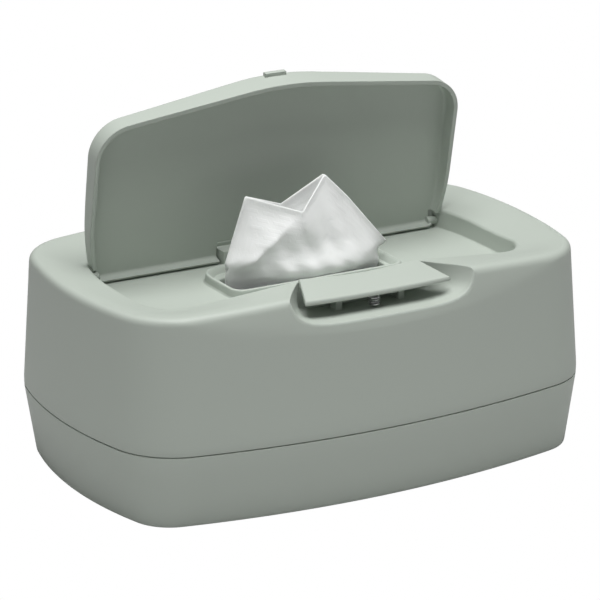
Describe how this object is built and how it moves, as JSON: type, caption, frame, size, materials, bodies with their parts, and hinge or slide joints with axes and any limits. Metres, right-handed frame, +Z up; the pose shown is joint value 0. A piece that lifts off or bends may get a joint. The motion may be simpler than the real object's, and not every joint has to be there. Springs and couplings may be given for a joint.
{
  "type": "wipes box",
  "caption": "Moulded box for moist wipes with an open sprung lid in its sunken deck, a collared slot with a wipe standing out of it and a press latch at the front",
  "frame": {"origin": "on the table under the middle of the box", "axes": "+X along the long side, +Y to the hinge side, +Z up; the latch faces -Y"},
  "size_m": [0.24, 0.1574, 0.1683],
  "materials": {
    "shell_plastic": "satin, pale grey-green",
    "foot_rubber": "matte grey",
    "wipe_cloth": "soft non-woven, white",
    "pin_steel": "drawn wire",
    "spring_steel": "drawn wire"
  },
  "bodies": {
    "base": {"base_tray": "shell_plastic", "foot_front_left": "foot_rubber", "foot_front_right": "foot_rubber", "foot_rear_left": "foot_rubber", "foot_rear_right": "foot_rubber", "wipes_stack": "wipe_cloth"},
    "cover": {"cover_shell": "shell_plastic", "hinge_pin": "pin_steel", "lid_spring": "spring_steel", "button_spring": "spring_steel", "wipe": "wipe_cloth"},
    "lid": {"lid": "shell_plastic"},
    "latch": {"latch_button": "shell_plastic"}
  },
  "joints": [
    {"name": "cover_lift", "type": "slide", "parent": "base", "child": "cover", "axis": [0, 0, 1], "range_m": [0, 0.1]},
    {"name": "lid_hinge", "type": "hinge", "parent": "cover", "child": "lid", "pos_m": [0, 0.0321, 0.0845], "axis": [1, 0, 0], "range_deg": [0, 78.8], "stiffness_Nm_per_rad": 0.02, "deforming": ["wipe"]},
    {"name": "latch_press", "type": "hinge", "parent": "cover", "child": "latch", "pos_m": [0, -0.0572, 0.0893], "axis": [1, 0, 0], "range_deg": [0, 8], "stiffness_Nm_per_rad": 0.3, "deforming": ["button_spring"]}
  ]
}
